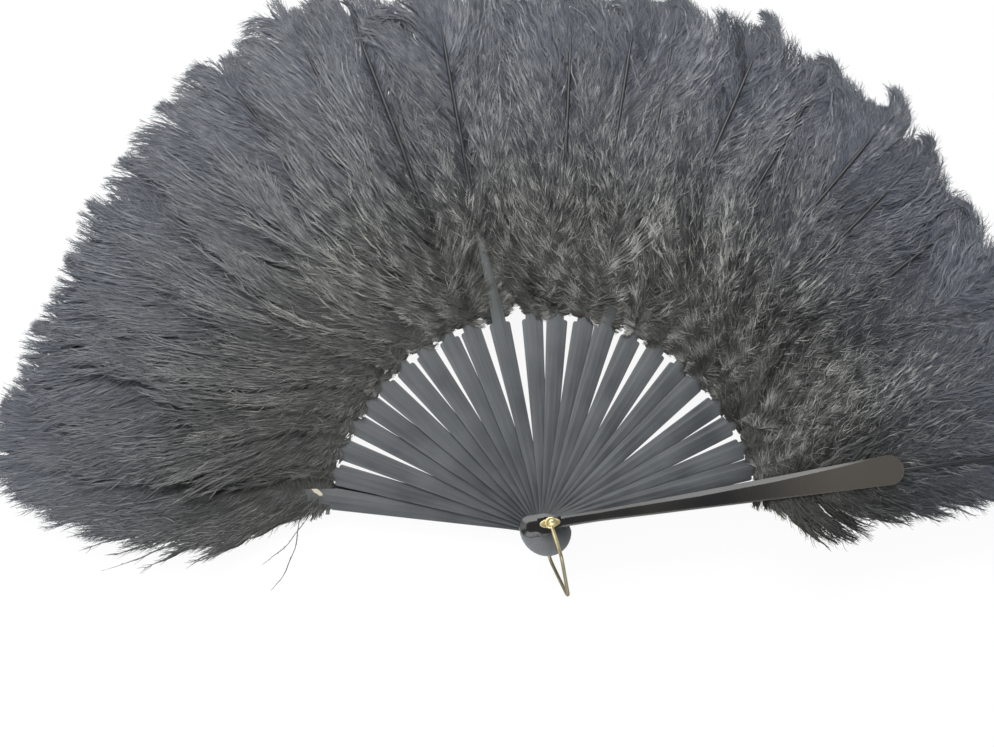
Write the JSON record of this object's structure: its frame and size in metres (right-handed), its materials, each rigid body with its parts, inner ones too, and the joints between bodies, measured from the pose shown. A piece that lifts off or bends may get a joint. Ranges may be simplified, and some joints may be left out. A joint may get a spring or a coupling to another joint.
{
  "type": "folding feather fan",
  "caption": "Folding hand fan: flat dark wooden sticks turn on a brass rivet, each carries a black plume, between two thick guards, with a wire bail at the rivet.",
  "frame": {"origin": "on the rivet axis, at the flat rear end of the rivet", "axes": "+Z along the rivet towards the front of the fan, +Y along the middle of the spread, +X towards the front guard's side"},
  "size_m": [0.6428, 0.3632, 0.0411],
  "materials": {
    "ebonised_wood": "satin",
    "lacquered_wood": "gloss",
    "plume": "matte",
    "brass": "polished"
  },
  "bodies": {
    "rear_guard": {"rear_guard": "lacquered_wood", "rear_guard_feather": "plume", "rivet": "brass", "rear_washer": "brass"},
    "front_guard": {"front_guard": "lacquered_wood", "front_guard_feather": "plume", "front_washer": "brass"},
    "bail": {"bail": "brass"},
    "stick_01": {"stick_01": "ebonised_wood", "feather_01": "plume"},
    "stick_02": {"stick_02": "ebonised_wood", "feather_02": "plume"},
    "stick_03": {"stick_03": "ebonised_wood", "feather_03": "plume"},
    "stick_04": {"stick_04": "ebonised_wood", "feather_04": "plume"},
    "stick_05": {"stick_05": "ebonised_wood", "feather_05": "plume"},
    "stick_06": {"stick_06": "ebonised_wood", "feather_06": "plume"},
    "stick_07": {"stick_07": "ebonised_wood", "feather_07": "plume"},
    "stick_08": {"stick_08": "ebonised_wood", "feather_08": "plume"},
    "stick_09": {"stick_09": "ebonised_wood", "feather_09": "plume"},
    "stick_10": {"stick_10": "ebonised_wood", "feather_10": "plume"},
    "stick_11": {"stick_11": "ebonised_wood", "feather_11": "plume"},
    "stick_12": {"stick_12": "ebonised_wood", "feather_12": "plume"},
    "stick_13": {"stick_13": "ebonised_wood", "feather_13": "plume"},
    "stick_14": {"stick_14": "ebonised_wood", "feather_14": "plume"},
    "stick_15": {"stick_15": "ebonised_wood", "feather_15": "plume"},
    "stick_16": {"stick_16": "ebonised_wood", "feather_16": "plume"},
    "stick_17": {"stick_17": "ebonised_wood", "feather_17": "plume"},
    "stick_18": {"stick_18": "ebonised_wood", "feather_18": "plume"},
    "stick_19": {"stick_19": "ebonised_wood", "feather_19": "plume"},
    "stick_20": {"stick_20": "ebonised_wood", "feather_20": "plume"},
    "stick_21": {"stick_21": "ebonised_wood", "feather_21": "plume"},
    "stick_22": {"stick_22": "ebonised_wood", "feather_22": "plume"},
    "stick_23": {"stick_23": "ebonised_wood", "feather_23": "plume"}
  },
  "joints": [
    {"name": "fan_fold", "type": "hinge", "parent": "rear_guard", "child": "front_guard", "pos_m": [0, 0, 0], "axis": [0, 0, 1], "range_deg": [0, 161.9]},
    {"name": "bail_swing", "type": "hinge", "parent": "rear_guard", "child": "bail", "pos_m": [0, 0, 0], "axis": [0, 0, 1], "range_deg": [-90, 60]},
    {"name": "stick_01_turn", "type": "hinge", "parent": "rear_guard", "child": "stick_01", "pos_m": [0, 0, 0], "axis": [0, 0, 1], "range_deg": [0, 156.01]},
    {"name": "stick_02_turn", "type": "hinge", "parent": "rear_guard", "child": "stick_02", "pos_m": [0, 0, 0], "axis": [0, 0, 1], "range_deg": [0, 149.9]},
    {"name": "stick_03_turn", "type": "hinge", "parent": "rear_guard", "child": "stick_03", "pos_m": [0, 0, 0], "axis": [0, 0, 1], "range_deg": [0, 142.78]},
    {"name": "stick_04_turn", "type": "hinge", "parent": "rear_guard", "child": "stick_04", "pos_m": [0, 0, 0], "axis": [0, 0, 1], "range_deg": [0, 136.17]},
    {"name": "stick_05_turn", "type": "hinge", "parent": "rear_guard", "child": "stick_05", "pos_m": [0, 0, 0], "axis": [0, 0, 1], "range_deg": [0, 127.76]},
    {"name": "stick_06_turn", "type": "hinge", "parent": "rear_guard", "child": "stick_06", "pos_m": [0, 0, 0], "axis": [0, 0, 1], "range_deg": [0, 121.94]},
    {"name": "stick_07_turn", "type": "hinge", "parent": "rear_guard", "child": "stick_07", "pos_m": [0, 0, 0], "axis": [0, 0, 1], "range_deg": [0, 114.33]},
    {"name": "stick_08_turn", "type": "hinge", "parent": "rear_guard", "child": "stick_08", "pos_m": [0, 0, 0], "axis": [0, 0, 1], "range_deg": [0, 106.41]},
    {"name": "stick_09_turn", "type": "hinge", "parent": "rear_guard", "child": "stick_09", "pos_m": [0, 0, 0], "axis": [0, 0, 1], "range_deg": [0, 98.8]},
    {"name": "stick_10_turn", "type": "hinge", "parent": "rear_guard", "child": "stick_10", "pos_m": [0, 0, 0], "axis": [0, 0, 1], "range_deg": [0, 92.79]},
    {"name": "stick_11_turn", "type": "hinge", "parent": "rear_guard", "child": "stick_11", "pos_m": [0, 0, 0], "axis": [0, 0, 1], "range_deg": [0, 85.37]},
    {"name": "stick_12_turn", "type": "hinge", "parent": "rear_guard", "child": "stick_12", "pos_m": [0, 0, 0], "axis": [0, 0, 1], "range_deg": [0, 78.56]},
    {"name": "stick_13_turn", "type": "hinge", "parent": "rear_guard", "child": "stick_13", "pos_m": [0, 0, 0], "axis": [0, 0, 1], "range_deg": [0, 69.35]},
    {"name": "stick_14_turn", "type": "hinge", "parent": "rear_guard", "child": "stick_14", "pos_m": [0, 0, 0], "axis": [0, 0, 1], "range_deg": [0, 61.13]},
    {"name": "stick_15_turn", "type": "hinge", "parent": "rear_guard", "child": "stick_15", "pos_m": [0, 0, 0], "axis": [0, 0, 1], "range_deg": [0, 54.62]},
    {"name": "stick_16_turn", "type": "hinge", "parent": "rear_guard", "child": "stick_16", "pos_m": [0, 0, 0], "axis": [0, 0, 1], "range_deg": [0, 47.11]},
    {"name": "stick_17_turn", "type": "hinge", "parent": "rear_guard", "child": "stick_17", "pos_m": [0, 0, 0], "axis": [0, 0, 1], "range_deg": [0, 40.19]},
    {"name": "stick_18_turn", "type": "hinge", "parent": "rear_guard", "child": "stick_18", "pos_m": [0, 0, 0], "axis": [0, 0, 1], "range_deg": [0, 32.98]},
    {"name": "stick_19_turn", "type": "hinge", "parent": "rear_guard", "child": "stick_19", "pos_m": [0, 0, 0], "axis": [0, 0, 1], "range_deg": [0, 26.46]},
    {"name": "stick_20_turn", "type": "hinge", "parent": "rear_guard", "child": "stick_20", "pos_m": [0, 0, 0], "axis": [0, 0, 1], "range_deg": [0, 20.05]},
    {"name": "stick_21_turn", "type": "hinge", "parent": "rear_guard", "child": "stick_21", "pos_m": [0, 0, 0], "axis": [0, 0, 1], "range_deg": [0, 12.54]},
    {"name": "stick_22_turn", "type": "hinge", "parent": "rear_guard", "child": "stick_22", "pos_m": [0, 0, 0], "axis": [0, 0, 1], "range_deg": [0, 5.62]},
    {"name": "stick_23_turn", "type": "hinge", "parent": "rear_guard", "child": "stick_23", "pos_m": [0, 0, 0], "axis": [0, 0, 1], "range_deg": [-1.01, 0]}
  ],
  "couplings": [
    {"joint": "stick_01_turn", "follows": "fan_fold", "ratio": 0.96356},
    {"joint": "stick_02_turn", "follows": "fan_fold", "ratio": 0.9258},
    {"joint": "stick_03_turn", "follows": "fan_fold", "ratio": 0.88186},
    {"joint": "stick_04_turn", "follows": "fan_fold", "ratio": 0.84101},
    {"joint": "stick_05_turn", "follows": "fan_fold", "ratio": 0.78904},
    {"joint": "stick_06_turn", "follows": "fan_fold", "ratio": 0.75313},
    {"joint": "stick_07_turn", "follows": "fan_fold", "ratio": 0.7061},
    {"joint": "stick_08_turn", "follows": "fan_fold", "ratio": 0.65722},
    {"joint": "stick_09_turn", "follows": "fan_fold", "ratio": 0.6102},
    {"joint": "stick_10_turn", "follows": "fan_fold", "ratio": 0.57305},
    {"joint": "stick_11_turn", "follows": "fan_fold", "ratio": 0.52726},
    {"joint": "stick_12_turn", "follows": "fan_fold", "ratio": 0.48518},
    {"joint": "stick_13_turn", "follows": "fan_fold", "ratio": 0.42827},
    {"joint": "stick_14_turn", "follows": "fan_fold", "ratio": 0.37753},
    {"joint": "stick_15_turn", "follows": "fan_fold", "ratio": 0.3373},
    {"joint": "stick_16_turn", "follows": "fan_fold", "ratio": 0.29089},
    {"joint": "stick_17_turn", "follows": "fan_fold", "ratio": 0.24819},
    {"joint": "stick_18_turn", "follows": "fan_fold", "ratio": 0.20363},
    {"joint": "stick_19_turn", "follows": "fan_fold", "ratio": 0.1634},
    {"joint": "stick_20_turn", "follows": "fan_fold", "ratio": 0.12379},
    {"joint": "stick_21_turn", "follows": "fan_fold", "ratio": 0.077377},
    {"joint": "stick_22_turn", "follows": "fan_fold", "ratio": 0.034673},
    {"joint": "stick_23_turn", "follows": "fan_fold", "ratio": -0.006177}
  ]
}
